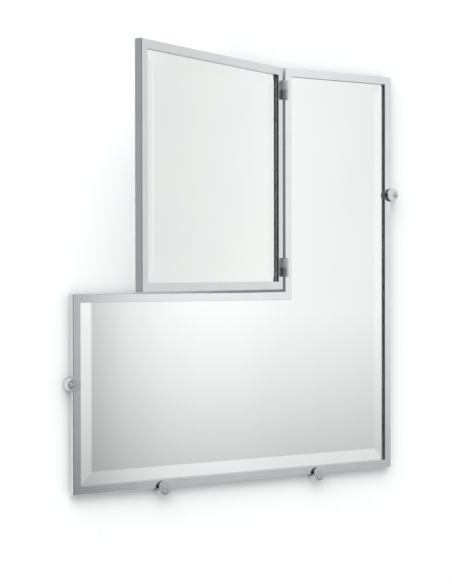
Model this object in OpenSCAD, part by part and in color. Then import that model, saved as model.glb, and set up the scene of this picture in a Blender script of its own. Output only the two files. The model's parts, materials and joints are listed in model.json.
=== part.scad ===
// L-shaped wall mirror with a hinged, bevelled swing panel in its upper left notch.
// X runs to the viewer's right, Y runs into the wall, Z runs up, all in millimetres.
// The origin lies on the wall plane, behind the middle of the frame's outline.

/* [Overall size] */
// Overall width of the frame
frame_w = 550; // [450:5:700]
// Overall height of the frame
frame_h = 600; // [480:5:760]
// Width of the tall column on the right
column_w = 200; // [150:5:260]
// Height of the low arm on the left
arm_h = 272; // [200:1:340]

/* [Frame bar] */
// Width of the bar's front face
bar_face = 12; // [10:0.5:16]
// Depth of the bar, front to back
bar_depth = 10; // [9.5:0.5:14]
// How far the bar's lip covers the edge of the glass
lip_cover = 2; // [1.5:0.25:3]
// Radius of the bar's outer front edge
edge_r = 1; // [0.3:0.1:1.2]
// Radius of the lip's front edge over the glass
sight_r = 0.4; // [0.2:0.1:1]

/* [Mirror glass] */
// Thickness of the glass
glass_t = 3; // [3:0.2:4]
// Distance of the main glass behind the front of the frame
glass_sink = 2.4; // [2.2:0.1:3]
// Distance of the panel's glass behind the front of its bars
panel_sink = 3.2; // [2.8:0.1:4.5]
// Width of the ground bevel, measured from the edge of the glass
bevel_w = 20; // [12:1:25]
// How much thinner the glass is at its ground edge
bevel_drop = 0.9; // [0.6:0.1:1.4]
// Free space round the glass inside the rebate
glass_clear = 1; // [0.5:0.25:1.5]
// Thickness of the cushion tape between lip and glass
tape_t = 0.4; // [0.2:0.1:0.6]
// Thickness of the backing sheet
sheet_t = 1.6; // [1.2:0.1:2]

/* [Swing panel] */
// Gap between the panel and the hinge stile
hinge_gap = 3.5; // [3:0.5:6]
// Gap between the panel and the arm below it
arm_gap = 3; // [2:0.5:5]
// Angle by which the panel stands open
open_angle = 23.4; // [0:0.1:175]
// Thickness of the panel's back cover
cover_t = 1.5; // [1:0.1:1.8]
// Distance of the rubber bumpers from the panel's free corners
bumper_inset = 20; // [12:1:40]
// Diameter of a rubber bumper
bumper_d = 10; // [8:0.5:14]

/* [Hinges] */
// Diameter of the hinge barrel
barrel_d = 11; // [9.5:0.5:12.5]
// Distance of the hinge axis in front of the front faces
hinge_proud = 2; // [0:0.5:2.5]
// Height of a hinge over its pin heads
hinge_h = 27.5; // [24:0.5:36]
// Distance of each hinge from the panel's upper or lower end
hinge_inset = 19; // [12:1:40]
// Diameter of the hinge pin
pin_d = 6; // [4:0.5:6.5]
// Thickness of the pin heads
pin_head_t = 1.1; // [0.8:0.1:1.5]
// Thickness of the washer between the knuckles
washer_t = 0.6; // [0.4:0.1:1]

/* [Wall fixings] */
// Diameter of a wall fixing
fixing_d = 20; // [20:0.5:24]
// Thickness of the fixing's lip in front of the frame
fixing_lip = 5; // [4:0.5:8]
// Space between the frame and the wall
wall_gap = 4; // [3.5:0.5:6]
// Distance of the screw outside the frame's edge
screw_off = 5; // [4.6:0.1:5.6]
// Diameter of the wall screw's thread
screw_d = 4.5; // [4:0.5:5]
// Diameter of the wall screw's plain shank
shank_d = 3.6; // [2.8:0.1:3.8]
// Diameter of the wall screw's head
screw_head_d = 7; // [6:0.5:7.5]
// How far the wall screw reaches into the wall
screw_reach = 35; // [25:1:50]
// Height of the left fixing above the frame's lower edge
left_fixing_up = 150; // [60:1:180]
// Distance of the right fixing below the frame's upper edge
right_fixing_down = 181; // [60:1:300]
// Distance of each lower fixing from the frame's nearer side
low_fixing_in = 141; // [60:1:200]

/* [Backing] */
// Greatest distance between clips or screws along a bar
screw_pitch = 180; // [120:5:240]
// Thickness of a backing clip
clip_t = 0.8; // [0.5:0.1:1]
// Diameter of the small screws in the bars
small_screw_d = 2.4; // [2:0.1:3]
// How deep the small screws reach into the bars
small_screw_in = 5; // [3:0.5:6]

/* [Hidden] */
$fn = 64;
// Cutting tools run past the faces they open by this much
over = 1;
// Ends of a bar: outside corners are mitred inwards, the inside corner outwards
OUTSIDE = 1;
INSIDE = -1;

// Clearances between pieces
seat_gap = 0.05;
press_gap = 0.01;
running_gap = 0.05;
head_gap = 0.1;
swing_gap = 0.4;
grip_gap = 0.1;
sheet_gap = 0.5;
wall_touch_gap = 0.1;

// Outline of the frame
left = -frame_w / 2;
right = frame_w / 2;
bottom = -frame_h / 2;
top = frame_h / 2;
arm_z = bottom + arm_h;
notch_x = right - column_w;
notch_w = frame_w - column_w;
notch_h = frame_h - arm_h;
front_y = -(wall_gap + bar_depth);

// Section of the bar and what lies in its rebate: the lip is thicker where the glass is bevelled
rebate_w = lip_cover + glass_clear;
sight_drop = bevel_drop * (1 - lip_cover / bevel_w);
plain_lip = glass_sink - tape_t - seat_gap;
bevel_lip = plain_lip + sight_drop;
panel_lip = panel_sink - tape_t - seat_gap + sight_drop;
glass_back = glass_sink + glass_t;
panel_glass_back = panel_sink + glass_t;
glass_inset = bar_face - lip_cover;
rebate_inset = bar_face - rebate_w;
screw_line = rebate_inset / 2;

// Hidden trim keeps this far from the edges it follows
trim_margin = 0.2;

// Panel outline while it is shut
panel_right = notch_x - hinge_gap;
panel_bottom = arm_z + arm_gap;
panel_w = panel_right - left;
panel_h = top - panel_bottom;
cover_inset = 0.4;
cover_back = front_y + bar_depth + cover_t;
bumper_t = wall_gap - cover_t - wall_touch_gap;
bumper_round = min(0.8, bumper_t / 2);

// Hinges: the axis stands in front of the middle of the gap
axis_x = notch_x - hinge_gap / 2;
axis_y = front_y - hinge_proud;
barrel_r = barrel_d / 2;
pin_r = pin_d / 2;
pin_head_step = 0.6;
pin_head_r = barrel_r - pin_head_step;
pin_head_round = 0.7;
knuckle_round = 0.6;
knuckle_h = (hinge_h - 2 * pin_head_t - washer_t - running_gap - head_gap) / 2;
hinge_starts = [panel_bottom + hinge_inset, top - hinge_inset - hinge_h];

// Heights within a hinge, from its lower end: the panel's knuckle turns on the washer
fixed_z0 = pin_head_t;
fixed_z1 = fixed_z0 + knuckle_h;
moving_z0 = fixed_z1 + washer_t + running_gap;
moving_z1 = moving_z0 + knuckle_h;

// Wall fixings: place on the outline, and the turn that points local X at the frame
fixing_r = fixing_d / 2;
fixing_len = wall_gap + bar_depth + fixing_lip;
fixing_round = 0.8;
fixing_back_round = 2;
pad_t = 0.8;
pad_margin = 1;
head_r = screw_head_d / 2;
head_sink = 2;
head_proud = 1.2;
head_round_r = 2.1;
head_clear = 0.4;
screw_clear = 0.2;
thread_start = 1;
tip_len = 4;
socket_r = 0.9;
socket_deep = 1.4;
fixings = [
    [[left, bottom + left_fixing_up], 0],
    [[right, top - right_fixing_down], 180],
    [[left + low_fixing_in, bottom], -90],
    [[right - low_fixing_in, bottom], -90]
];

// Clips, small screws and blocks
clip_w = 12;
clip_over = 5;
small_r = small_screw_d / 2;
small_head_r = 2.3;
small_head_t = 1.2;
small_head_round = 0.5;
slot_w = 0.7;
slot_deep = 0.5;
sink_t = 1.1;
block_pitch = 250;
block_len = 20;
block_margin = 0.3;

// Bars as [start of the outer edge, turn about Y, length, start corner, end corner, lip]
bottom_bar = [[left, bottom], 0, frame_w, OUTSIDE, OUTSIDE, bevel_lip];
right_bar = [[right, bottom], -90, frame_h, OUTSIDE, OUTSIDE, bevel_lip];
top_bar = [[right, top], 180, column_w, OUTSIDE, OUTSIDE, bevel_lip];
hinge_bar = [[notch_x, top], 90, notch_h, OUTSIDE, INSIDE, plain_lip];
notch_bar = [[notch_x, arm_z], 180, notch_w, INSIDE, OUTSIDE, plain_lip];
left_bar = [[left, arm_z], 90, arm_h, OUTSIDE, OUTSIDE, bevel_lip];
main_bars = [bottom_bar, right_bar, top_bar, hinge_bar, notch_bar, left_bar];

panel_bottom_bar = [[left, panel_bottom], 0, panel_w, OUTSIDE, OUTSIDE, panel_lip];
panel_hinge_bar = [[panel_right, panel_bottom], -90, panel_h, OUTSIDE, OUTSIDE, panel_lip];
panel_top_bar = [[panel_right, top], 180, panel_w, OUTSIDE, OUTSIDE, panel_lip];
panel_free_bar = [[left, top], 90, panel_h, OUTSIDE, OUTSIDE, panel_lip];
panel_bars = [panel_bottom_bar, panel_hinge_bar, panel_top_bar, panel_free_bar];

// Places along a bar, evenly spread and no further apart than about the pitch
function stations(len, pitch) =
    let (count = max(1, round(len / pitch)))
    [for (i = [0 : count - 1]) len * (i + 0.5) / count];

// The L-shaped outline, drawn in from the frame's outer edge
function l_outline(inset) = [
    [left + inset, bottom + inset],
    [right - inset, bottom + inset],
    [right - inset, top - inset],
    [notch_x + inset, top - inset],
    [notch_x + inset, arm_z - inset],
    [left + inset, arm_z - inset]
];

// The panel's outline, drawn in from its outer edge
function panel_outline(inset) = [
    [left + inset, panel_bottom + inset],
    [panel_right - inset, panel_bottom + inset],
    [panel_right - inset, top - inset],
    [left + inset, top - inset]
];

// A strip along a bar's inner side between two distances from its outer edge, mitred at both ends
function mitred_strip(b, z0, z1, clear) = [
    [b[3] * z0 + clear, z0],
    [b[2] - b[4] * z0 - clear, z0],
    [b[2] - b[4] * z1 - clear, z1],
    [b[3] * z1 + clear, z1]
];

// What a round edge takes off a square corner that stands at the origin
module corner_cut(r) {
    difference() {
        translate([-over, -over]) square(r + over);
        translate([r, r]) circle(r = r);
    }
}

// A flat plate in the XZ plane between two depths
module upright_plate(y0, y1) {
    translate([0, y1, 0]) rotate([90, 0, 0]) linear_extrude(y1 - y0) children();
}

// Section of the bar: X is depth from the front, Y is distance from the outer edge
module bar_section(lip) {
    difference() {
        square([bar_depth, bar_face]);
        translate([lip, bar_face - rebate_w]) square([bar_depth, rebate_w + over]);
        corner_cut(edge_r);
        translate([0, bar_face]) mirror([0, 1]) corner_cut(sight_r);
    }
}

// A bar along X with its outer edge at Z = 0, mitred at both ends
module bar(b) {
    intersection() {
        translate([-bar_face, 0, 0])
            rotate([90, 0, 90]) linear_extrude(b[2] + 2 * bar_face) bar_section(b[5]);
        upright_plate(-over, bar_depth + over) polygon(mitred_strip(b, 0, bar_face, 0));
    }
}

// Moves what is drawn along X from 0 to the place of a bar
module on_bar(b) {
    translate([b[0][0], front_y, b[0][1]]) rotate([0, b[1], 0]) children();
}

// Blind holes for the small screws along the back of a bar
module screw_holes(len) {
    for (x = stations(len, screw_pitch))
        translate([x, bar_depth - small_screw_in - over, screw_line])
            rotate([-90, 0, 0]) cylinder(h = small_screw_in + 2 * over, r = small_r + running_gap);
}

// A drilled bar at its place
module placed_bar(b) {
    on_bar(b) difference() {
        bar(b);
        screw_holes(b[2]);
    }
}

// Everything on the panel is drawn shut and swung open about the hinge axis
module swung() {
    translate([axis_x, axis_y, 0]) rotate([0, 0, open_angle])
        translate([-axis_x, -axis_y, 0]) children();
}

// A cylinder about the hinge axis
module axis_rod(z0, z1, r) {
    translate([axis_x, axis_y, z0]) cylinder(h = z1 - z0, r = r);
}

// Recesses for both barrels: tight round the stile's own knuckle, free round the other
module hinge_recesses(own_z0, own_z1) {
    for (z = hinge_starts) {
        axis_rod(z - swing_gap, z + own_z0, barrel_r + swing_gap);
        axis_rod(z + own_z0, z + own_z1, barrel_r + seat_gap);
        axis_rod(z + own_z1, z + hinge_h + swing_gap, barrel_r + swing_gap);
    }
}

module bottom_rail() color("gainsboro") placed_bar(bottom_bar);

module right_stile() color("gainsboro") placed_bar(right_bar);

module top_rail() color("gainsboro") placed_bar(top_bar);

module notch_rail() color("gainsboro") placed_bar(notch_bar);

module left_stile() color("gainsboro") placed_bar(left_bar);

module hinge_stile() {
    color("gainsboro") difference() {
        placed_bar(hinge_bar);
        hinge_recesses(fixed_z0, fixed_z1);
    }
}

// Rectangle of glass from [x0, z0] to [x1, z1] at a depth, bevelled on all four sides of its front
module bevelled_plate(x0, z0, x1, z1, sink) {
    y0 = front_y + sink;
    y1 = y0 + glass_t;
    ground = y0 + bevel_drop;
    intersection() {
        translate([0, 0, z0]) linear_extrude(z1 - z0)
            polygon([
                [x0, y1], [x1, y1], [x1, ground], [x1 - bevel_w, y0], [x0 + bevel_w, y0], [x0, ground]
            ]);
        translate([x0, 0, 0]) rotate([90, 0, 90]) linear_extrude(x1 - x0)
            polygon([
                [y1, z0], [y1, z1], [ground, z1], [y0, z1 - bevel_w], [y0, z0 + bevel_w], [ground, z0]
            ]);
    }
}

// One sheet of glass, bevelled on its outer sides and left plain along both edges of the notch
module main_mirror_glass() {
    color("lightcyan") intersection() {
        bevelled_plate(
            left + glass_inset, bottom + glass_inset,
            right - glass_inset, top - glass_inset, glass_sink);
        upright_plate(front_y, front_y + bar_depth) polygon(l_outline(glass_inset));
    }
}

module panel_mirror_glass() {
    color("lightcyan") swung() bevelled_plate(
        left + glass_inset, panel_bottom + glass_inset,
        panel_right - glass_inset, top - glass_inset, panel_sink);
}

// Cushion tape on the back of a bar's lip
module edge_tape(b) {
    on_bar(b) upright_plate(b[5], b[5] + tape_t)
        polygon(mitred_strip(b, glass_inset + trim_margin, bar_face - trim_margin, trim_margin));
}

module main_edge_tape() {
    color("white") for (b = main_bars) edge_tape(b);
}

module panel_edge_tape() {
    color("white") swung() for (b = panel_bars) edge_tape(b);
}

// Blocks in the rebate that keep the edge of the glass off the metal
module setting_blocks(b, y1) {
    y0 = b[5] + tape_t + trim_margin;
    on_bar(b) for (x = stations(b[2], block_pitch))
        translate([x - block_len / 2, y0, rebate_inset + seat_gap])
            cube([block_len, y1 - block_margin - y0, glass_clear - 2 * seat_gap]);
}

module main_setting_blocks() {
    color("dimgray") for (b = main_bars) setting_blocks(b, glass_back);
}

module panel_setting_blocks() {
    color("dimgray") swung() for (b = panel_bars) setting_blocks(b, panel_glass_back);
}

// Foam that presses the glass against the tape
module main_cushion_sheet() {
    color("slategray") upright_plate(front_y + glass_back, front_y + bar_depth - sheet_t)
        polygon(l_outline(rebate_inset + sheet_gap));
}

// The backing sheet lies flush with the back of the bars
module main_backing_sheet() {
    color("silver") upright_plate(front_y + bar_depth - sheet_t, front_y + bar_depth)
        polygon(l_outline(rebate_inset + sheet_gap));
}

// The panel's foam fills the whole rebate, up to its back cover
module panel_cushion_sheet() {
    color("slategray") swung() upright_plate(front_y + panel_glass_back, front_y + bar_depth)
        polygon(panel_outline(rebate_inset + sheet_gap));
}

// Flat clips on the back of the bars that hold the backing sheet
module clip_shape() {
    difference() {
        union() {
            translate([-clip_w / 2, 0]) square([clip_w, rebate_inset - screw_line + clip_over]);
            intersection() {
                circle(d = clip_w);
                translate([-clip_w / 2, -screw_line + trim_margin]) square([clip_w, clip_w]);
            }
        }
        circle(r = small_r + running_gap);
    }
}

module backing_clips() {
    color("silver") for (b = main_bars) on_bar(b)
        for (x = stations(b[2], screw_pitch))
            translate([x, 0, screw_line])
                upright_plate(bar_depth, bar_depth + clip_t) clip_shape();
}

// Pan-head screw along Y, its head's seat at the origin and its shank towards the front
module pan_screw(grip) {
    rotate([-90, 0, 0]) difference() {
        rotate_extrude() {
            translate([0, -grip]) square([small_r, grip + small_head_t / 2]);
            difference() {
                square([small_head_r, small_head_t]);
                translate([small_head_r, small_head_t]) rotate(180) corner_cut(small_head_round);
            }
        }
        translate([-small_head_r, -slot_w / 2, small_head_t - slot_deep])
            cube([2 * small_head_r, slot_w, small_head_t]);
    }
}

module clip_screws() {
    color("gray") for (b = main_bars) on_bar(b)
        for (x = stations(b[2], screw_pitch))
            translate([x, bar_depth + clip_t, screw_line]) pan_screw(clip_t + small_screw_in);
}

// Countersunk form along Y with its flat end at the origin, grown by a gap
module sunk_form(grip, gap) {
    rotate([-90, 0, 0]) rotate_extrude()
        polygon([
            [0, -grip],
            [small_r + gap, -grip],
            [small_r + gap, -sink_t],
            [small_head_r + gap, 0],
            [0, 0]
        ]);
}

module at_cover_screws() {
    for (b = panel_bars) on_bar(b)
        for (x = stations(b[2], screw_pitch))
            translate([x, bar_depth + cover_t, screw_line]) children();
}

module panel_cover_screws() {
    color("gray") swung() at_cover_screws() difference() {
        sunk_form(cover_t + small_screw_in, 0);
        translate([-small_head_r, -slot_deep, -slot_w / 2]) cube([2 * small_head_r, 2 * slot_deep, slot_w]);
    }
}

module panel_back_cover() {
    color("lightgray") swung() difference() {
        upright_plate(cover_back - cover_t, cover_back) polygon(panel_outline(cover_inset));
        at_cover_screws() {
            sunk_form(cover_t + over, running_gap);
            rotate([-90, 0, 0]) cylinder(h = over, r = small_head_r + running_gap);
        }
    }
}

module panel_bumpers() {
    color("dimgray") swung()
        for (z = [panel_bottom + bumper_inset, top - bumper_inset])
            translate([left + bumper_inset, cover_back, z]) rotate([-90, 0, 0]) rotate_extrude()
                difference() {
                    square([bumper_d / 2, bumper_t]);
                    translate([bumper_d / 2, bumper_t]) rotate(180) corner_cut(bumper_round);
                }
}

module panel_bar(b) {
    swung() placed_bar(b);
}

module panel_bottom_rail() color("gainsboro") panel_bar(panel_bottom_bar);

module panel_top_rail() color("gainsboro") panel_bar(panel_top_bar);

module panel_free_stile() color("gainsboro") panel_bar(panel_free_bar);

module panel_hinge_stile() {
    color("gainsboro") swung() difference() {
        placed_bar(panel_hinge_bar);
        hinge_recesses(moving_z0, moving_z1);
    }
}

// Half of the section of a knuckle, rounded at its lower outer edge
module knuckle(z0, turn_over, gap) {
    translate([axis_x, axis_y, z0 + (turn_over ? knuckle_h : 0)]) mirror([0, 0, turn_over ? 1 : 0])
        rotate_extrude() difference() {
            translate([pin_r + gap, 0]) square([barrel_r - pin_r - gap, knuckle_h]);
            translate([barrel_r, 0]) mirror([1, 0]) corner_cut(knuckle_round);
        }
}

module fixed_knuckle(z) color("gainsboro") knuckle(z + fixed_z0, false, press_gap);

module panel_knuckle(z) color("gainsboro") swung() knuckle(z + moving_z0, true, running_gap);

// Headed at both ends, so the panel can't be lifted off
module hinge_pin(z) {
    color("gainsboro") translate([axis_x, axis_y, z]) rotate_extrude() {
        translate([0, pin_head_t / 2]) square([pin_r, hinge_h - pin_head_t]);
        difference() {
            square([pin_head_r, pin_head_t]);
            translate([pin_head_r, 0]) mirror([1, 0]) corner_cut(pin_head_round);
        }
        translate([0, hinge_h - pin_head_t]) difference() {
            square([pin_head_r, pin_head_t]);
            translate([pin_head_r, pin_head_t]) rotate(180) corner_cut(pin_head_round);
        }
    }
}

module hinge_washer(z) {
    color("lightgray") difference() {
        axis_rod(z + fixed_z1, z + fixed_z1 + washer_t, barrel_r - trim_margin);
        axis_rod(z, z + hinge_h, pin_r + head_gap);
    }
}

// Round fixing with a pocket for the frame's edge and an off-centre screw outside it
module fixing(f) {
    color("gainsboro") translate([f[0][0], 0, f[0][1]]) rotate([0, f[1], 0]) difference() {
        rotate([90, 0, 0]) rotate_extrude() difference() {
            square([fixing_r, fixing_len]);
            translate([fixing_r, fixing_len]) rotate(180) corner_cut(fixing_round);
            translate([fixing_r, 0]) mirror([1, 0]) corner_cut(fixing_back_round);
        }
        translate([-grip_gap, front_y - grip_gap, -fixing_r - over])
            cube([fixing_r + over, bar_depth + pad_t + grip_gap, 2 * (fixing_r + over)]);
        translate([-screw_off, over, 0]) rotate([90, 0, 0]) {
            cylinder(h = fixing_len + 2 * over, r = screw_d / 2 + screw_clear);
            translate([0, 0, fixing_len + over - head_sink])
                cylinder(h = head_sink + over, r = head_r + head_clear);
        }
    }
}

module left_fixing() fixing(fixings[0]);

module right_fixing() fixing(fixings[1]);

module lower_left_fixing() fixing(fixings[2]);

module lower_right_fixing() fixing(fixings[3]);

// Soft half-moon pads between the fixings' ledges and the back of the frame
module fixing_pads() {
    color("white") for (f = fixings)
        translate([f[0][0], -wall_gap, f[0][1]]) rotate([0, f[1], 0]) rotate([-90, 0, 0])
            intersection() {
                cylinder(h = pad_t, r = fixing_r - pad_margin);
                translate([pad_margin, -fixing_r, -over]) cube([fixing_r, fixing_d, pad_t + 2 * over]);
            }
}

// Domed wall screws with a socket in the head and a pointed tip
module fixing_screws() {
    seat = fixing_len - head_sink;
    crown = seat + head_sink + head_proud;
    color("silver") for (f = fixings)
        translate([f[0][0], 0, f[0][1]]) rotate([0, f[1], 0])
            translate([-screw_off, 0, 0]) rotate([90, 0, 0]) difference() {
                rotate_extrude() {
                    polygon([
                        [0, -screw_reach],
                        [screw_d / 2, tip_len - screw_reach],
                        [screw_d / 2, -thread_start],
                        [shank_d / 2, -thread_start],
                        [shank_d / 2, seat + head_sink / 2],
                        [0, seat + head_sink / 2]
                    ]);
                    difference() {
                        translate([0, seat]) square([head_r, crown - seat]);
                        translate([head_r, crown]) rotate(180) corner_cut(head_round_r);
                    }
                }
                translate([0, 0, crown - socket_deep])
                    cylinder(h = socket_deep + over, r = socket_r, $fn = 6);
            }
}

bottom_rail();
right_stile();
top_rail();
hinge_stile();
notch_rail();
left_stile();
main_mirror_glass();
main_edge_tape();
main_setting_blocks();
main_cushion_sheet();
main_backing_sheet();
backing_clips();
clip_screws();
left_fixing();
right_fixing();
lower_left_fixing();
lower_right_fixing();
fixing_pads();
fixing_screws();
fixed_knuckle(hinge_starts[0]);  // lower_hinge_fixed_knuckle
hinge_pin(hinge_starts[0]);  // lower_hinge_pin
hinge_washer(hinge_starts[0]);  // lower_hinge_washer
fixed_knuckle(hinge_starts[1]);  // upper_hinge_fixed_knuckle
hinge_pin(hinge_starts[1]);  // upper_hinge_pin
hinge_washer(hinge_starts[1]);  // upper_hinge_washer
panel_bottom_rail();
panel_hinge_stile();
panel_top_rail();
panel_free_stile();
panel_mirror_glass();
panel_edge_tape();
panel_setting_blocks();
panel_cushion_sheet();
panel_back_cover();
panel_cover_screws();
panel_bumpers();
panel_knuckle(hinge_starts[0]);  // lower_hinge_panel_knuckle
panel_knuckle(hinge_starts[1]);  // upper_hinge_panel_knuckle
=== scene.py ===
"""Looks of a bevelled wall mirror with a swinging panel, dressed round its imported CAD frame.

The mirror is an L of silvered glass in a bright steel frame. A rectangular mirror of its own fills
the notch of the L and swings out on two pin hinges. Four round fixings hold the frame to the wall
with screws just outside its edge.
"""

import json
import logging
import math
from dataclasses import dataclass, field, replace
from enum import Enum
from functools import lru_cache
from typing import Iterable, Mapping, Sequence

import bmesh
import bpy
from mathutils import Matrix, Vector


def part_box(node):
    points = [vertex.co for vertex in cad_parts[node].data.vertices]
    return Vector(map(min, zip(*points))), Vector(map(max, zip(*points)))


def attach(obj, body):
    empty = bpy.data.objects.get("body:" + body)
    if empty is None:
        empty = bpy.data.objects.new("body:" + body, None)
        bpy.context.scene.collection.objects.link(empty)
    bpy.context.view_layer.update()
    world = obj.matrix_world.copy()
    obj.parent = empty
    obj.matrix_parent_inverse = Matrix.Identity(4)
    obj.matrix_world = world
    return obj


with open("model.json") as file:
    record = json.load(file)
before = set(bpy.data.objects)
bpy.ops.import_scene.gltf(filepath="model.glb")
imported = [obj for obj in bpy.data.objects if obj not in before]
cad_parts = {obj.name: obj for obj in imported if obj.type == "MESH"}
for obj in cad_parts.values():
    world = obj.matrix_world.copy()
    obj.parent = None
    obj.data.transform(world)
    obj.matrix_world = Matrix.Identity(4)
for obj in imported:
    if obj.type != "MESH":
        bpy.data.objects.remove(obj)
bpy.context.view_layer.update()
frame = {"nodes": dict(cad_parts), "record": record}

MM = 0.001
MICRON = 0.000001
# Blender's noise seldom leaves this range, so ramps over it use their full span
NOISE_LOW, NOISE_HIGH = 0.3, 0.7
# Octaves of the noise in plain marks, in a lathe's rings and in the slow drift of colour
MARK_OCTAVES, RING_OCTAVES, CLOUD_OCTAVES = 3.0, 2.0, 1.0
# Rings that a lathe leaves on a face run on unchanged this far into the piece
RING_DEPTH_M = 1.0
# A new colour ramp comes with this many stops
FIRST_STOPS = 2
# The Mix node names several sockets alike, so those in use go by their numbers
SHARE, COLOUR_A, COLOUR_B, MIXED_COLOUR = 0, 6, 7, 2
NUMBER_A, NUMBER_B, MIXED_NUMBER = 2, 3, 0
HALF_TURN_DEG, QUARTER_TURN_DEG = 180.0, 90.0
LOG = logging.getLogger("wall_mirror")

Colour = tuple[float, float, float, float]
Point = tuple[float, float, float]


class Body(Enum):
    """The two bodies of the model."""

    WALL_SIDE = "root"
    PANEL = "swing_panel"


class Slot(Enum):
    """The record's material slots that new pieces take their finish from."""

    MIRROR = "mirror_glass"


class Grain(Enum):
    """How the marks of a surface run, which follows from how it was made."""

    CLOUDED = "clouded"
    LEVEL = "level"
    UPRIGHT = "upright"
    LATHE_FACED = "lathe_faced"
    LATHE_TURNED = "lathe_turned"


def linear(hex_colour: str) -> Colour:
    """Turn an sRGB hex colour to the linear colour that Blender's sockets hold.

    Args:
        hex_colour: six hex digits, red first.

    Returns:
        The linear red, green and blue, and an alpha of 1.
    """
    knee, slope, offset, power, full = 0.04045, 12.92, 0.055, 2.4, 255
    channels = [channel / full for channel in bytes.fromhex(hex_colour)]
    red, green, blue = (
        c / slope if c <= knee else ((c + offset) / (1 + offset)) ** power for c in channels
    )
    return red, green, blue, 1.0


def add_node(
    tree: bpy.types.NodeTree,
    kind: str,
    inputs: Mapping[str | int, object] | None = None,
    stops: Sequence[tuple[float, Colour]] = (),
    **settings: object,
) -> bpy.types.Node:
    """Add one node with its settings, its values and its links.

    Args:
        tree: the node tree that the node joins.
        kind: Blender's name for the kind of node.
        inputs: for each input, by name or number, a value or the socket that feeds it.
        stops: places from 0 to 1 and their colours, for a colour ramp.
        settings: the node's own properties.

    Returns:
        The new node.
    """
    node = tree.nodes.new(kind)
    for name, value in settings.items():
        setattr(node, name, value)
    for key, value in (inputs or {}).items():
        if isinstance(value, bpy.types.NodeSocket):
            tree.links.new(value, node.inputs[key])
        else:
            node.inputs[key].default_value = value
    for number, (place, colour) in enumerate(stops):
        elements = node.color_ramp.elements
        stop = elements[number] if number < FIRST_STOPS else elements.new(place)
        stop.position = place
        stop.color = colour
    return node


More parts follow.
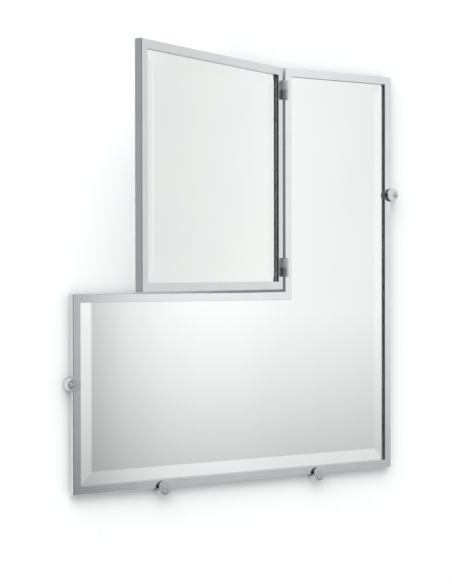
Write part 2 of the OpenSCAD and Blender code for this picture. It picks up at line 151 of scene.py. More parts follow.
@dataclass(frozen=True)
class Finish:
    """A real material and how its surface was made.

    Attributes:
        name: the material's common name and process.
        pale: its lightest colour, sRGB hex.
        deep: its darkest colour, sRGB hex.
        gloss: its lowest and highest roughness.
        metallic: 1 for bare metal and 0 for anything else.
        grain: how its marks run.
        mark_mm: length and width of one mark.
        cloud_mm: size of the slow change in colour.
        relief_um: height of the marks.
        turn_deg: how far the piece is turned about the vertical, which its marks follow.
        centre_mm: a point on the lathe's axis, for a turned piece.
        corner_shade_mm: how far painted shade reaches from a corner with another piece, or 0 for
            none.
        corner_shade_open: shares of open view at which the painted corner shade is full and where it
            is gone.
        transmission: 1 for clear glass.
        ior: index of refraction, which a metal leaves at Blender's own value.
    """

    name: str
    pale: str
    deep: str
    gloss: tuple[float, float]
    metallic: float = 0.0
    grain: Grain = Grain.CLOUDED
    mark_mm: tuple[float, float] = (4.0, 4.0)
    cloud_mm: float = 40.0
    relief_um: float = 0.0
    turn_deg: float = 0.0
    centre_mm: Point = (0.0, 0.0, 0.0)
    corner_shade_mm: float = 0.0
    corner_shade_open: tuple[float, float] = (0.6, 0.95)
    transmission: float = 0.0
    ior: float = 1.5

    def cell(self) -> Point:
        """Give the size of one mark along each axis, in metres."""
        run, across = (side * MM for side in self.mark_mm)
        sizes = {
            Grain.CLOUDED: (across, across, across),
            Grain.LEVEL: (run, across, across),
            Grain.UPRIGHT: (across, across, run),
            Grain.LATHE_FACED: (across, RING_DEPTH_M, across),
            Grain.LATHE_TURNED: (run, run, across),
        }
        return sizes[self.grain]

    def marks(self, tree: bpy.types.NodeTree) -> bpy.types.NodeSocket:
        """Draw the marks that the making left, at their real size.

        Args:
            tree: the material's node tree.

        Returns:
            A socket with the height of the marks, about 0.3 to 0.7.
        """
        coordinates = add_node(tree, "ShaderNodeTexCoord").outputs["Object"]
        cells = add_node(
            tree,
            "ShaderNodeMapping",
            {
                "Vector": coordinates,
                "Location": Vector(self.centre_mm) * MM,
                "Rotation": (0.0, 0.0, math.radians(self.turn_deg)),
                "Scale": self.cell(),
            },
            vector_type="TEXTURE",
        ).outputs["Vector"]
        if self.grain is not Grain.LATHE_FACED:
            grains = {"Vector": cells, "Scale": 1.0, "Detail": MARK_OCTAVES}
            return add_node(tree, "ShaderNodeTexNoise", grains).outputs["Fac"]
        radius = add_node(tree, "ShaderNodeVectorMath", {0: cells}, operation="LENGTH")
        rings = {"W": radius.outputs["Value"], "Scale": 1.0, "Detail": RING_OCTAVES}
        return add_node(tree, "ShaderNodeTexNoise", rings, noise_dimensions="1D").outputs["Fac"]

    def clouds(self, tree: bpy.types.NodeTree) -> bpy.types.NodeSocket:
        """Draw the slow drift of colour over the piece.

        Args:
            tree: the material's node tree.

        Returns:
            A socket that drifts about 0.5.
        """
        coordinates = add_node(tree, "ShaderNodeTexCoord").outputs["Object"]
        scale = 1.0 / (self.cloud_mm * MM)
        drift = {"Vector": coordinates, "Scale": scale, "Detail": CLOUD_OCTAVES}
        return add_node(tree, "ShaderNodeTexNoise", drift).outputs["Fac"]

    def tone(self, tree: bpy.types.NodeTree) -> bpy.types.NodeSocket:
        """Drift between the two colours, and paint shade into the corners against other pieces.

        Args:
            tree: the material's node tree.

        Returns:
            A socket with the colour.
        """
        tone = add_node(
            tree,
            "ShaderNodeValToRGB",
            {"Fac": self.clouds(tree)},
            stops=[(NOISE_LOW, linear(self.deep)), (NOISE_HIGH, linear(self.pale))],
        ).outputs["Color"]
        if not self.corner_shade_mm:
            return tone
        # Painted shade: the colour is drawn towards CORNER_PAINTED_SHADE where ambient occlusion
        # finds another piece close by.
        reach = {"Distance": self.corner_shade_mm * MM}
        view = add_node(tree, "ShaderNodeAmbientOcclusion", reach).outputs["AO"]
        dark, unshaded = self.corner_shade_open
        share = add_node(
            tree, "ShaderNodeMapRange", {"Value": view, "From Min": dark, "From Max": unshaded}
        ).outputs["Result"]
        mixed = {SHARE: share, COLOUR_A: linear(CORNER_PAINTED_SHADE), COLOUR_B: tone}
        return add_node(tree, "ShaderNodeMix", mixed, data_type="RGBA").outputs[MIXED_COLOUR]

    def material(self) -> bpy.types.Material:
        """Build the Blender material.

        Returns:
            A material with one Principled shader fed by the marks and the clouds.
        """
        made = bpy.data.materials.new(self.name)
        made.use_nodes = True
        tree = made.node_tree
        tree.nodes.clear()
        marks = self.marks(tree)
        sheen = add_node(
            tree,
            "ShaderNodeMapRange",
            {
                "Value": marks,
                "From Min": NOISE_LOW,
                "From Max": NOISE_HIGH,
                "To Min": self.gloss[0],
                "To Max": self.gloss[1],
            },
        ).outputs["Result"]
        inputs = {
            "Base Color": self.tone(tree),
            "Roughness": sheen,
            "Metallic": self.metallic,
            "Transmission Weight": self.transmission,
            "IOR": self.ior,
        }
        if self.relief_um:
            depth = {"Height": marks, "Strength": 1.0, "Distance": self.relief_um * MICRON}
            inputs["Normal"] = add_node(tree, "ShaderNodeBump", depth).outputs["Normal"]
        shader = add_node(tree, "ShaderNodeBsdfPrincipled", inputs)
        add_node(tree, "ShaderNodeOutputMaterial", {"Surface": shader.outputs["BSDF"]})
        return made


# Painted shade: the dark colour that steel is drawn towards in corners against another piece.
CORNER_PAINTED_SHADE = "26282A"
# Stainless steel bar, drawn square and buffed bright along its length. It mirrors the room a
# shade darker than the glass does, with reflections drawn out a little along the bar. Real buffing
# lines are a few microns wide, too fine for a picture, so here they are 1.4 mm.
BUFFED_STEEL_BAR = Finish(
    "stainless_steel_bar_buffed",
    pale="E3E4E6",
    deep="DEE0E1",
    gloss=(0.05, 0.09),
    metallic=1.0,
    grain=Grain.LEVEL,
    mark_mm=(70.0, 1.4),
    relief_um=0.4,
)
# The swing panel's bars take a darker copy of the same steel, as painted shade.
SHADED_PANEL_STEEL_BAR = replace(
    BUFFED_STEEL_BAR, name="stainless_steel_bar_buffed_painted_shade", pale="D9DADC", deep="D4D6D7"
)
# Clear float glass, ground and polished to a wide bevel. It bends what the silvering shows at the
# bevel, and takes off a trace of red.
FLOAT_GLASS = Finish(
    "float_glass_ground_and_polished",
    pale="FDFEFD",
    deep="FCFDFD",
    gloss=(0.0, 0.002),
    cloud_mm=160.0,
    transmission=1.0,
    ior=1.52,
)
# Silver laid on the back of the glass from solution. It is the mirror itself, even and without
# grain.
SILVERING = Finish(
    "silver_deposited_on_glass",
    pale="F3F5F4",
    deep="F1F4F3",
    gloss=(0.0, 0.004),
    metallic=1.0,
    cloud_mm=160.0,
)
# Stainless steel turned on a lathe and polished. Faint rings stay round the face of each wall
# fixing, and shade is painted into the corner where its lip stands on the frame.
TURNED_STEEL_BUTTON = Finish(
    "stainless_steel_turned_and_polished",
    pale="DADCDD",
    deep="D3D5D7",
    gloss=(0.06, 0.1),
    metallic=1.0,
    grain=Grain.LATHE_FACED,
    mark_mm=(6.0, 0.9),
    relief_um=0.5,
    cloud_mm=9.0,
    corner_shade_mm=12.0,
)
# Stainless steel rod, turned into hinge knuckles and pins. Its marks run round the rod, and shade
# is painted in where it meets the frame.
TURNED_STEEL_ROD = Finish(
    "stainless_steel_rod_turned",
    pale="C8CACC",
    deep="BEC0C3",
    gloss=(0.3, 0.38),
    metallic=1.0,
    grain=Grain.LATHE_TURNED,
    mark_mm=(30.0, 0.8),
    relief_um=0.6,
    cloud_mm=8.0,
    corner_shade_mm=1.2,
)
# The panel's knuckles are turned from the same rod and left satin, which spreads what they mirror
# to an even grey.
SATIN_STEEL_ROD = replace(
    TURNED_STEEL_ROD,
    name="stainless_steel_rod_satin",
    pale="DEE0E1",
    deep="D6D8DA",
    gloss=(0.5, 0.6),
    corner_shade_mm=0.0,
)
# Stainless steel screws, cold headed and tumbled. Tumbling leaves an even satin with small dents.
TUMBLED_STEEL_SCREW = Finish(
    "stainless_steel_screw_tumbled",
    pale="E6E7E8",
    deep="DADCDE",
    gloss=(0.26, 0.36),
    metallic=1.0,
    mark_mm=(1.0, 1.0),
    relief_um=4.0,
    cloud_mm=5.0,
)
# Aluminium sheet, cold rolled and left bare, which gives it a dull sheen along the rolling. Real
# rolling lines are a few hundredths of a millimetre wide, too fine for a picture, so here they are
# 1.5 mm.
ROLLED_ALUMINIUM = Finish(
    "aluminium_sheet_cold_rolled",
    pale="D0D2D4",
    deep="C9CCCE",
    gloss=(0.3, 0.42),
    metallic=1.0,
    grain=Grain.LEVEL,
    mark_mm=(120.0, 1.5),
    relief_um=3.0,
    cloud_mm=90.0,
)
# Spring steel strip, pressed and plated with zinc. Plating gives it a soft bluish grey.
PLATED_CLIP = Finish(
    "spring_steel_zinc_plated",
    pale="B9BDC3",
    deep="A4A9B0",
    gloss=(0.25, 0.36),
    metallic=1.0,
    mark_mm=(2.0, 2.0),
    relief_um=3.0,
    cloud_mm=12.0,
)
# White closed-cell foam tape, slit from a roll. It shows as a pale line under the lip of the
# frame, and its cells as a fine matt pitting.
FOAM_TAPE = Finish(
    "polyethylene_foam_tape_slit",
    pale="EDEDEA",
    deep="E2E2DE",
    gloss=(0.75, 0.9),
    mark_mm=(1.2, 1.2),
    relief_um=25.0,
    cloud_mm=20.0,
)
# Setting blocks cut from EPDM rubber. The cut faces are dull and slightly bloomed.
CUT_RUBBER = Finish(
    "epdm_rubber_cut",
    pale="2B2B2C",
    deep="1F1F20",
    gloss=(0.6, 0.8),
    mark_mm=(1.0, 1.0),
    relief_um=25.0,
    cloud_mm=6.0,
)
# Cushion behind the glass, cut from grey polyethylene foam sheet. The cut shows its cells as a
# matt pitting.
CUSHION_FOAM = Finish(
    "polyethylene_foam_sheet_cut",
    pale="55595D",
    deep="494D51",
    gloss=(0.8, 0.95),
    mark_mm=(1.5, 1.5),
    relief_um=80.0,
    cloud_mm=50.0,
)
# Nylon, moulded natural white. It lets a little light in, so its edges look soft.
MOULDED_NYLON = Finish(
    "nylon_moulded",
    pale="E6E4DC",
    deep="DCDAD2",
    gloss=(0.35, 0.5),
    mark_mm=(1.0, 1.0),
    relief_um=6.0,
    cloud_mm=6.0,
    ior=1.53,
)
# Hinge washers moulded from grey nylon. They mark the joint between the knuckles as a thin dull
# line.
GREY_NYLON = replace(MOULDED_NYLON, name="nylon_moulded_grey", pale="A3A3A0", deep="979794")
# Bumpers moulded from black rubber. The mould gives them a dull skin.
MOULDED_RUBBER = Finish(
    "silicone_rubber_moulded",
    pale="242425",
    deep="1A1A1B",
    gloss=(0.5, 0.65),
    mark_mm=(1.0, 1.0),
    relief_um=8.0,
    cloud_mm=5.0,
    ior=1.41,
)


@lru_cache(maxsize=None)
def material_of(finish: Finish) -> bpy.types.Material:
    """Build the material of a finish once, and give the same one each time after."""
    return finish.material()


def coat(piece: bpy.types.Object, finish: Finish) -> None:
    """Give every face of a piece one finish.

    Args:
        piece: a CAD node's object, or a new mesh.
        finish: its finish.
    """
    made = material_of(finish)
    if not piece.material_slots:
        piece.data.materials.append(made)
    for slot in piece.material_slots:
        slot.material = made
    LOG.info("%s: %s", piece.name, finish.name)


def coat_nodes(names: Iterable[str], finish: Finish) -> None:
    """Give several CAD nodes one finish.

    Args:
        names: the nodes' names.
        finish: their finish.
    """
    for name in names:
        coat(frame["nodes"][name], finish)


@dataclass(frozen=True)
class Turn:
    """A turn about an upright axis, for what is built square to the wall and stands open.

    Attributes:
        axis_mm: x and y of the axis.
        angle_deg: how far it is turned, seen from above against the clock.
    """

    axis_mm: tuple[float, float] = (0.0, 0.0)
    angle_deg: float = 0.0

    def matrix(self) -> Matrix:
        """Give the turn as a matrix in metres."""
        axis = Matrix.Translation(Vector((*self.axis_mm, 0.0)) * MM)
        return axis @ Matrix.Rotation(math.radians(self.angle_deg), 4, "Z") @ axis.inverted()


def modelled_turn(joint_name: str) -> Turn:
    """Work out how far a joint's piece stands from shut, the lower end of the joint's range.

    Args:
        joint_name: the joint's name in the record.

    Returns:
        The turn from shut to how the piece is modelled.
    """
    joints = frame["record"]["behaviour"]["joints"]
    joint = next(entry for entry in joints if entry["name"] == joint_name)
    x, y, _ = (coordinate / MM for coordinate in joint["pos_m"])
    return Turn(axis_mm=(x, y), angle_deg=-joint["range_deg"][0])


CLOSED = Turn()
PANEL_OPEN = modelled_turn("panel_swing")


@dataclass
class MirrorPane:
    """One pane of bevelled glass, silvered behind, with its tape, setting blocks and foam.

    Attributes:
        name: start of the names of the pane's CAD nodes.
        body: the body that it rides on.
        turn: how the pane stands.
        sink_mm: how far inside the glass's back the silvering starts, so no face is shared.
        silver_mm: thickness drawn for the silvering, which is really far thinner than a micron.
        margin_mm: how far the silvering stops inside the glass's edge.
        join_mm: points nearer than this are one.
    """

    name: str
    body: Body
    turn: Turn = CLOSED
    sink_mm: float = 0.02
    silver_mm: float = 0.03
    margin_mm: float = 0.1
    join_mm: float = 0.001

    def back_of_glass(self) -> bmesh.types.BMesh:
        """Copy the flat back of the glass, turned square to the wall.

        Returns:
            The copy's faces.
        """
        square_up = self.turn.matrix().inverted()
        glass = frame["nodes"][f"{self.name}_mirror_glass"].data
        points = [square_up @ vertex.co for vertex in glass.vertices]
        rear = max(point.y for point in points)
        shape = bmesh.new()
        for polygon in glass.polygons:
            corners = [points[number] for number in polygon.vertices]
            if all(rear - corner.y < self.join_mm * MM for corner in corners):
                shape.faces.new([shape.verts.new(corner) for corner in corners])
        bmesh.ops.remove_doubles(shape, verts=shape.verts, dist=self.join_mm * MM)
        return shape

    def build(self) -> bpy.types.Object:
        """Build the silvering, as a thin closed sheet just inside the back of the glass.

        Returns:
            The silvering, riding with its pane.
        """
        shape = self.back_of_glass()
        rim = bmesh.ops.inset_region(
            shape, faces=shape.faces, thickness=self.margin_mm * MM, use_even_offset=True
        )["faces"]
        bmesh.ops.delete(shape, geom=rim, context="FACES")
        bmesh.ops.translate(shape, verts=shape.verts, vec=(0.0, -self.sink_mm * MM, 0.0))
        front = bmesh.ops.extrude_face_region(shape, geom=shape.faces)["geom"]
        front_corners = [part for part in front if isinstance(part, bmesh.types.BMVert)]
        bmesh.ops.translate(shape, verts=front_corners, vec=(0.0, -self.silver_mm * MM, 0.0))
        bmesh.ops.recalc_face_normals(shape, faces=shape.faces)
        shape.transform(self.turn.matrix())
        mesh = bpy.data.meshes.new(f"{self.name}_silvering")
        shape.to_mesh(mesh)
        shape.free()
        piece = bpy.data.objects.new(mesh.name, mesh)
        bpy.context.scene.collection.objects.link(piece)
        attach(piece, self.body.value)
        coat(piece, SILVERING)
        return piece

    def dress(self) -> None:
        """Finish the glass and what beds it in its frame."""
        coat_nodes([f"{self.name}_mirror_glass"], FLOAT_GLASS)
        coat_nodes([f"{self.name}_edge_tape"], FOAM_TAPE)
        coat_nodes([f"{self.name}_setting_blocks"], CUT_RUBBER)
        coat_nodes([f"{self.name}_cushion_sheet"], CUSHION_FOAM)


@dataclass
class MainMirror:
    """The L-shaped mirror: six bars, its pane, and the sheet, clips and screws behind.

    Attributes:
        pane: its glass and silvering.
        rails: its level bars.
        stiles: its upright bars.
    """

    pane: MirrorPane = field(default_factory=lambda: MirrorPane("main", Body.WALL_SIDE))
    rails: Sequence[str] = ("bottom_rail", "top_rail", "notch_rail")
    stiles: Sequence[str] = ("right_stile", "hinge_stile", "left_stile")

    def build(self) -> None:
        """Build the silvering of the L."""
        self.pane.build()

    def dress(self) -> None:
        """Finish the bars, the pane and the backing."""
        coat_nodes(self.rails, BUFFED_STEEL_BAR)
        coat_nodes(self.stiles, upright(BUFFED_STEEL_BAR))
        self.pane.dress()
        coat_nodes(["main_backing_sheet"], ROLLED_ALUMINIUM)
        coat_nodes(["backing_clips"], PLATED_CLIP)
        coat_nodes(["clip_screws"], TUMBLED_STEEL_SCREW)


@dataclass
class SwingPanel:
    """The mirror that swings in the notch: four bars, its pane, and what lies behind it.

    Attributes:
        turn: how far the panel stands open.
        rails: its level bars.
        stiles: its upright bars.
    """

    turn: Turn = PANEL_OPEN
    rails: Sequence[str] = ("panel_bottom_rail", "panel_top_rail")
    stiles: Sequence[str] = ("panel_hinge_stile", "panel_free_stile")

    def pane(self) -> MirrorPane:
        """Give the panel's pane, turned as the panel is."""
        return MirrorPane("panel", Body.PANEL, self.turn)

    def build(self) -> None:
        """Build the silvering of the panel."""
        self.pane().build()

    def dress(self) -> None:
        """Finish the bars, the pane and the back of the panel."""
        # The panel's bars take the darker copy of the steel, which is painted shade.
        turned_bar = replace(SHADED_PANEL_STEEL_BAR, turn_deg=self.turn.angle_deg)
        coat_nodes(self.rails, turned_bar)
        coat_nodes(self.stiles, upright(turned_bar))
        self.pane().dress()
        coat_nodes(["panel_back_cover"], replace(ROLLED_ALUMINIUM, turn_deg=self.turn.angle_deg))
        coat_nodes(["panel_cover_screws"], TUMBLED_STEEL_SCREW)
        coat_nodes(["panel_bumpers"], MOULDED_RUBBER)


@dataclass
class PinHinge:
    """One pin hinge: a knuckle on the frame, a knuckle on the panel, their washer and the pin.

    Attributes:
        name: lower or upper.
    """

    name: str

    def dress(self) -> None:
        """Finish the knuckles, the pin and the washer."""
        coat_nodes([f"{self.name}_hinge_fixed_knuckle", f"{self.name}_hinge_pin"], TURNED_STEEL_ROD)
        coat_nodes([f"{self.name}_hinge_panel_knuckle"], SATIN_STEEL_ROD)
        coat_nodes([f"{self.name}_hinge_washer"], GREY_NYLON)


@dataclass
class WallFixings:
    """The round fixings, with the pads behind the frame and the screws into the wall.

    Attributes:
        names: the fixings' nodes.
    """

    names: Sequence[str] = (
        "left_fixing",
        "right_fixing",
        "lower_left_fixing",
        "lower_right_fixing",
    )

    def dress(self) -> None:
        """Finish each fixing with rings round its own middle, then the pads and the screws."""
        for name in self.names:
            low, high = (Vector(corner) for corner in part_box(name))
            middle = (low + high) / 2 / MM
            coat_nodes([name], replace(TURNED_STEEL_BUTTON, centre_mm=(middle.x, 0.0, middle.z)))
        coat_nodes(["fixing_pads"], MOULDED_NYLON)
        coat_nodes(["fixing_screws"], TUMBLED_STEEL_SCREW)


def upright(finish: Finish) -> Finish:
    """Run a bar's marks up and down."""
    return replace(finish, grain=Grain.UPRIGHT)


@dataclass(frozen=True)
class PhotoCamera:
    """The photograph's viewpoint, solved from the straight edges of the two frames.

    Attributes:
        place_mm: where the lens stands.
        heading_deg: how far it looks to the right of straight at the wall.
        pitch_deg: how far it looks up.
        roll_deg: how far it is rolled.
        focal_px: focal length in the photograph's pixels.
        image_px: width and height of the photograph.
        sensor_mm: Blender's sensor, which the longer side of the image fills.
        reach_m: nearest and farthest distance drawn.
    """

    place_mm: Point = (-1228.098, -1843.465, 1.255)
    heading_deg: float = 33.24713
    pitch_deg: float = -0.755136
    roll_deg: float = -0.098732
    focal_px: float = 1528.37
    image_px: tuple[int, int] = (452, 584)
    sensor_mm: float = 36.0
    reach_m: tuple[float, float] = (0.05, 60.0)

    def build(self) -> bpy.types.Object:
        """Make the camera and set it as the scene's.

        Returns:
            The camera.
        """
        heading, pitch, roll = (
            math.radians(angle) for angle in (self.heading_deg, self.pitch_deg, self.roll_deg)
        )
        ahead = Vector(
            (
                math.sin(heading) * math.cos(pitch),
                math.cos(heading) * math.cos(pitch),
                math.sin(pitch),
            )
        )
        level = Vector((math.cos(heading), -math.sin(heading), 0.0))
        above = level.cross(ahead)
        across = level * math.cos(roll) + above * math.sin(roll)
        up = above * math.cos(roll) - level * math.sin(roll)
        lens = bpy.data.cameras.new("photo_camera")
        lens.sensor_width = self.sensor_mm
        lens.lens = self.focal_px / max(self.image_px) * self.sensor_mm
        lens.clip_start, lens.clip_end = self.reach_m
        camera = bpy.data.objects.new("photo_camera", lens)
        turn = Matrix((across, up, -ahead)).transposed().to_4x4()
        camera.matrix_world = Matrix.Translation(Vector(self.place_mm) * MM) @ turn
        bpy.context.scene.collection.objects.link(camera)
        bpy.context.scene.camera = camera
        return camera


def mirror_rays(tree: bpy.types.NodeTree) -> bpy.types.NodeSocket:
    """Tell the rays by which steel and glass see the set from all others.

    Args:
        tree: the node tree of a material or of the world.

    Returns:
        A socket that is 1 for those rays.
    """
    ray = add_node(tree, "ShaderNodeLightPath").outputs
    kinds = {0: ray["Is Glossy Ray"], 1: ray["Is Transmission Ray"]}
    return add_node(tree, "ShaderNodeMath", kinds, operation="MAXIMUM").outputs[0]


@dataclass(frozen=True)
class Lamp:
    """A very wide soft lamp, so far off that its light is even over the whole wall.

    Attributes:
        name: its name.
        azimuth_deg: where it stands, from straight ahead of the wall towards the right.
        elevation_deg: how high it stands.
        width_deg: how wide it looks from the wall.
        strength: its strength.
    """

    name: str
    azimuth_deg: float
    elevation_deg: float
    width_deg: float
    strength: float

    def build(self) -> None:
        """Hang the lamp, out of sight of reflections, which see the studio round the object."""
        azimuth, elevation = math.radians(self.azimuth_deg), math.radians(self.elevation_deg)
        towards = Vector(
            (
                math.sin(azimuth) * math.cos(elevation),
                -math.cos(azimuth) * math.cos(elevation),
                math.sin(elevation),
            )
        )
        light = bpy.data.lights.new(self.name, "SUN")
        light.angle = math.radians(self.width_deg)
        light.energy = self.strength
        lamp = bpy.data.objects.new(self.name, light)
        lamp.rotation_mode = "QUATERNION"
        lamp.rotation_quaternion = towards.to_track_quat("Z", "Y")
        lamp.visible_glossy = False
        lamp.visible_transmission = False
        bpy.context.scene.collection.objects.link(lamp)
        LOG.info("%s: lamp", self.name)


def tone_by_angle(
    tree: bpy.types.NodeTree,
    angle: bpy.types.NodeSocket,
    reach_deg: float,
    tones: Sequence[tuple[float, str]],
) -> bpy.types.NodeSocket:
    """Look up a tone by the size of an angle.

    Args:
        tree: the node tree.
        angle: a socket with the angle, in radians.
        reach_deg: how far the angle goes either way from 0.
        tones: angles in degrees and their tones, sRGB hex.

    Returns:
        A socket with the tone.
    """
    reach = math.radians(reach_deg)
    place = add_node(
        tree, "ShaderNodeMapRange", {"Value": angle, "From Min": -reach, "From Max": reach}
    ).outputs["Result"]
    stops = [((at + reach_deg) / (2 * reach_deg), linear(tone)) for at, tone in tones]
    return add_node(tree, "ShaderNodeValToRGB", {"Fac": place}, stops=stops).outputs["Color"]


@dataclass(frozen=True)
class StudioRoom:
    """The pale studio that the steel and the glass mirror, and that lights everything evenly.

    Attributes:
        round_the_room: level at eye height by azimuth in degrees, from ahead towards the right.
        floor_fall: how much is left of that level towards the floor, by elevation in degrees.
        pale_floor_deg: azimuths between which the floor turns pale, towards the right.
        overhead: share of the tones overhead and underfoot, by elevation in degrees.
        zenith: tone overhead, sRGB hex.
        ground: tone underfoot, sRGB hex.
        lift: what the brightest tone stands for.
        ambient: level of the even light on dull surfaces.
        backdrop: tone that the camera sees behind the wall and the floor, sRGB hex.
    """

    round_the_room: Sequence[tuple[float, str]]
    floor_fall: Sequence[tuple[float, str]]
    overhead: Sequence[tuple[float, str]]
    pale_floor_deg: tuple[float, float] = (48.0, 68.0)
    zenith: str = "F4F5F5"
    ground: str = "B9BCBC"
    lift: float = 1.12
    ambient: float = 0.27
    backdrop: str = "FFFFFF"

    def reflected(self, tree: bpy.types.NodeTree) -> bpy.types.NodeSocket:
        """Paint what reflections see, by the direction in which they look.

        Args:
            tree: the world's node tree.

        Returns:
            A socket with the colour seen.
        """
        way = add_node(tree, "ShaderNodeTexCoord").outputs["Generated"]
        parts = add_node(tree, "ShaderNodeSeparateXYZ", {"Vector": way}).outputs
        out = add_node(tree, "ShaderNodeMath", {0: parts["Y"], 1: -1.0}, operation="MULTIPLY")
        across = {0: parts["X"], 1: out.outputs[0]}
        azimuth = add_node(tree, "ShaderNodeMath", across, operation="ARCTAN2").outputs[0]
        rise = {0: parts["Z"]}
        elevation = add_node(tree, "ShaderNodeMath", rise, operation="ARCSINE").outputs[0]
        level = tone_by_angle(tree, azimuth, HALF_TURN_DEG, self.round_the_room)
        fall = tone_by_angle(tree, elevation, QUARTER_TURN_DEG, self.floor_fall)
        share = tone_by_angle(tree, elevation, QUARTER_TURN_DEG, self.overhead)
        dark, pale = (math.radians(bound) for bound in self.pale_floor_deg)
        floor_left = add_node(
            tree, "ShaderNodeMapRange", {"Value": azimuth, "From Min": pale, "From Max": dark}
        ).outputs["Result"]
        sunk = add_node(
            tree,
            "ShaderNodeMix",
            {SHARE: floor_left, COLOUR_A: level, COLOUR_B: fall},
            data_type="RGBA",
            blend_type="MULTIPLY",
        ).outputs[MIXED_COLOUR]
        above = add_node(
            tree, "ShaderNodeMath", {0: elevation, 1: 0.0}, operation="GREATER_THAN"
        ).outputs[0]
        ends = {SHARE: above, COLOUR_A: linear(self.ground), COLOUR_B: linear(self.zenith)}
        cap = add_node(tree, "ShaderNodeMix", ends, data_type="RGBA").outputs[MIXED_COLOUR]
        room = {SHARE: share, COLOUR_A: sunk, COLOUR_B: cap}
        return add_node(tree, "ShaderNodeMix", room, data_type="RGBA").outputs[MIXED_COLOUR]

    def build(self) -> None:
        """Make the world: a plain tone for the camera, the studio for mirrors, even light besides."""
        world = bpy.data.worlds.new("studio")
        world.use_nodes = True
        tree = world.node_tree
        tree.nodes.clear()
        ray = add_node(tree, "ShaderNodeLightPath").outputs
        even = add_node(tree, "ShaderNodeBackground", {"Strength": self.ambient})
        seen = add_node(
            tree, "ShaderNodeBackground", {"Color": self.reflected(tree), "Strength": self.lift}
        )
        behind = add_node(
            tree, "ShaderNodeBackground", {"Color": linear(self.backdrop), "Strength": 1.0}
        )
        with_mirrored = add_node(
            tree,
            "ShaderNodeMixShader",
            {0: mirror_rays(tree), 1: even.outputs[0], 2: seen.outputs[0]},
        )
        with_camera = add_node(
            tree,
            "ShaderNodeMixShader",
            {0: ray["Is Camera Ray"], 1: with_mirrored.outputs[0], 2: behind.outputs[0]},
        )
        add_node(tree, "ShaderNodeOutputWorld", {"Surface": with_camera.outputs[0]})
        bpy.context.scene.world = world


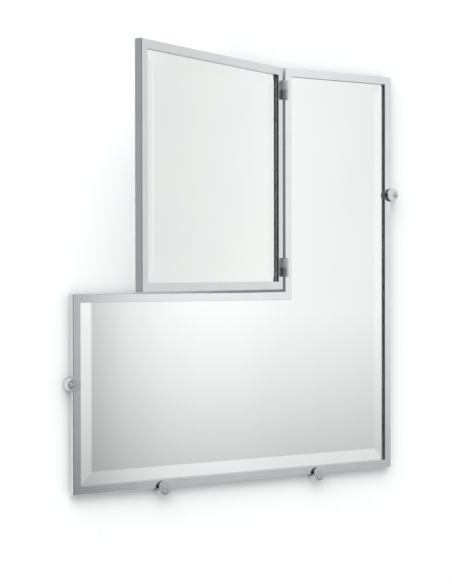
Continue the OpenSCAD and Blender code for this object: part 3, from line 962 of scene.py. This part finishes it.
@dataclass(frozen=True)
class Backdrop:
    """A flat sheet of the set: seen from its front, painted darker close to the object, faded out at
    its rim.

    Attributes:
        name: its name.
        middle_m: its middle.
        facing: the way that its front looks.
        radius_m: where it starts to fade, and where it is gone.
        mirrored_m: the same for what steel and glass reflect of it, or nothing if they don't.
        tone: its colour, sRGB hex.
        glow: what camera and reflections see besides the lamps' light on it, where 1 is white.
        painted_contact_shade: painted shade, the share of colour and glow taken off where the object
            would hide it all.
        shade_mm: how far from the object that painted shade reaches.
        sides: how many sides stand for its round rim.
    """

    name: str
    middle_m: Point
    facing: Point
    radius_m: tuple[float, float]
    mirrored_m: tuple[float, float] | None
    tone: str
    glow: float
    painted_contact_shade: float
    shade_mm: float
    sides: int = 96

    def build(self) -> bpy.types.Object:
        """Make the sheet as a disc, and keep it out of diffuse light and shadows.

        Returns:
            The sheet.
        """
        shape = bmesh.new()
        bmesh.ops.create_circle(
            shape, cap_ends=True, segments=self.sides, radius=self.radius_m[1]
        )
        turn = Vector(self.facing).to_track_quat("Z", "Y").to_matrix().to_4x4()
        shape.transform(turn)
        mesh = bpy.data.meshes.new(self.name)
        shape.to_mesh(mesh)
        shape.free()
        sheet = bpy.data.objects.new(self.name, mesh)
        sheet.location = self.middle_m
        bpy.context.scene.collection.objects.link(sheet)
        mesh.materials.append(self.material())
        sheet.visible_diffuse = False
        sheet.visible_glossy = bool(self.mirrored_m)
        sheet.visible_transmission = bool(self.mirrored_m)
        sheet.visible_shadow = False
        return sheet

    def cleared(self, tree: bpy.types.NodeTree) -> bpy.types.NodeSocket:
        """Work out where the sheet is clear: at its rim, from behind, and to rays that passed it.

        Args:
            tree: the material's node tree.

        Returns:
            A socket that is 1 where the sheet is clear.
        """
        place = add_node(tree, "ShaderNodeTexCoord").outputs["Object"]
        span = add_node(tree, "ShaderNodeVectorMath", {0: place}, operation="LENGTH")
        seen_rim, mirrored_rim = (
            add_node(
                tree,
                "ShaderNodeMapRange",
                {"Value": span.outputs["Value"], "From Min": whole, "From Max": gone},
                interpolation_type="SMOOTHSTEP",
            ).outputs["Result"]
            for whole, gone in (self.radius_m, self.mirrored_m or self.radius_m)
        )
        rims = {SHARE: mirror_rays(tree), NUMBER_A: seen_rim, NUMBER_B: mirrored_rim}
        rim = add_node(tree, "ShaderNodeMix", rims).outputs[MIXED_NUMBER]
        behind = {
            0: add_node(tree, "ShaderNodeNewGeometry").outputs["Backfacing"],
            1: add_node(tree, "ShaderNodeLightPath").outputs["Transparent Depth"],
        }
        from_behind = add_node(tree, "ShaderNodeMath", behind, operation="MAXIMUM").outputs[0]
        either = {0: rim, 1: from_behind}
        clear = add_node(tree, "ShaderNodeMath", either, operation="MAXIMUM", use_clamp=True)
        return clear.outputs[0]

    def material(self) -> bpy.types.Material:
        """Paint the sheet matt, with a glow on top that only camera and reflections see.

        Both are painted darker close to the object, as shade.

        Returns:
            The material.
        """
        made = bpy.data.materials.new(f"{self.name}_matt_paint")
        made.use_nodes = True
        tree = made.node_tree
        tree.nodes.clear()
        # Painted shade: ambient occlusion darkens the paint's colour and the glow close to the
        # object.
        reach = {"Distance": self.shade_mm * MM}
        view = add_node(tree, "ShaderNodeAmbientOcclusion", reach).outputs["AO"]
        left = add_node(
            tree, "ShaderNodeMapRange", {"Value": view, "To Min": 1.0 - self.painted_contact_shade, "To Max": 1.0}
        ).outputs["Result"]
        camera_rays = add_node(tree, "ShaderNodeLightPath").outputs["Is Camera Ray"]
        either = {0: camera_rays, 1: mirror_rays(tree)}
        seen = add_node(tree, "ShaderNodeMath", either, operation="MAXIMUM").outputs[0]
        glow = add_node(tree, "ShaderNodeMath", {0: seen, 1: self.glow}, operation="MULTIPLY")
        both = {0: left, 1: glow.outputs[0]}
        strength = add_node(tree, "ShaderNodeMath", both, operation="MULTIPLY").outputs[0]
        shaded = {SHARE: 1.0, COLOUR_A: linear(self.tone), COLOUR_B: left}
        tone = add_node(
            tree, "ShaderNodeMix", shaded, data_type="RGBA", blend_type="MULTIPLY"
        ).outputs[MIXED_COLOUR]
        paint = add_node(tree, "ShaderNodeBsdfDiffuse", {"Color": tone})
        lit = add_node(tree, "ShaderNodeEmission", {"Strength": strength})
        front = add_node(tree, "ShaderNodeAddShader", {0: paint.outputs[0], 1: lit.outputs[0]})
        gone = add_node(tree, "ShaderNodeBsdfTransparent")
        layers = {0: self.cleared(tree), 1: front.outputs[0], 2: gone.outputs[0]}
        surface = add_node(tree, "ShaderNodeMixShader", layers)
        add_node(tree, "ShaderNodeOutputMaterial", {"Surface": surface.outputs[0]})
        return made


ROOM = StudioRoom(
    round_the_room=(
        (-180.0, "E7E8E8"),
        (-150.0, "D8D9DA"),
        (-125.0, "B9BABC"),
        (-100.0, "ACADAF"),
        (-84.0, "A6A7A9"),
        (-60.0, "96989A"),
        (-47.0, "464749"),
        (-20.0, "464749"),
        (-10.0, "8C8E90"),
        (6.0, "A2A4A5"),
        (26.0, "9A9C9D"),
        (27.6, "C0C2C3"),
        (28.4, "D3D5D5"),
        (29.2, "E4E5E5"),
        (30.2, "F3F4F4"),
        (31.8, "FCFCFC"),
        (33.6, "FDFDFD"),
        (35.2, "F7F7F7"),
        (37.0, "F2F2F2"),
        (39.0, "EEEEEE"),
        (41.0, "E0E1E1"),
        (46.0, "E7E8E8"),
        (72.0, "F0F1F0"),
        (76.0, "F2F3F2"),
        (77.6, "E5E6E5"),
        (81.5, "F4F5F4"),
        (84.5, "EEEFEE"),
        (88.0, "C1C2C2"),
        (150.0, "B5B6B6"),
        (180.0, "E7E8E8"),
    ),
    floor_fall=(
        (-90.0, "ABACAC"),
        (-14.0, "ABACAC"),
        (-10.0, "A9AAAA"),
        (-7.0, "D1D2D2"),
        (-4.1, "EFEFEF"),
        (-1.5, "FFFFFF"),
        (90.0, "FFFFFF"),
    ),
    overhead=(
        (-90.0, "FFFFFF"),
        (-19.0, "FFFFFF"),
        (-10.0, "000000"),
        (12.0, "000000"),
        (24.0, "FFFFFF"),
        (90.0, "FFFFFF"),
    ),
)
LAMPS = (
    Lamp("upper_left_softbox", azimuth_deg=-36.0, elevation_deg=54.0, width_deg=60.0, strength=2.6),
    Lamp("left_softbox", azimuth_deg=-54.0, elevation_deg=22.0, width_deg=60.0, strength=1.6),
    Lamp("front_softbox", azimuth_deg=5.0, elevation_deg=14.0, width_deg=90.0, strength=0.37),
)
# The wall and the floor are painted darker close to the object, as shade.
WALL = Backdrop(
    "studio_wall",
    middle_m=(0.0, 0.0, 0.0),
    facing=(0.0, -1.0, 0.0),
    radius_m=(1.6, 3.2),
    mirrored_m=(0.42, 0.7),
    tone="E4E5E5",
    glow=0.245,
    painted_contact_shade=0.52,
    shade_mm=65.0,
)
FLOOR = Backdrop(
    "studio_floor",
    middle_m=(0.0, 0.0, -1.25),
    facing=(0.0, 0.0, 1.0),
    radius_m=(1.8, 4.5),
    mirrored_m=None,
    tone="E4E5E5",
    glow=0.3,
    painted_contact_shade=0.5,
    shade_mm=60.0,
)


def main() -> None:
    """Set up the camera and the studio, then build and dress each sub-assembly."""
    logging.basicConfig(level=logging.INFO, format="%(name)s: %(message)s")
    bpy.context.scene.view_settings.view_transform = "Standard"
    PhotoCamera().build()
    ROOM.build()
    for lamp in LAMPS:
        lamp.build()
    for sheet in (WALL, FLOOR):
        sheet.build()
    for mirror in (MainMirror(), SwingPanel()):
        mirror.build()
        mirror.dress()
    for name in ("lower", "upper"):
        PinHinge(name).dress()
    WallFixings().dress()


if __name__ == "__main__":
    main()
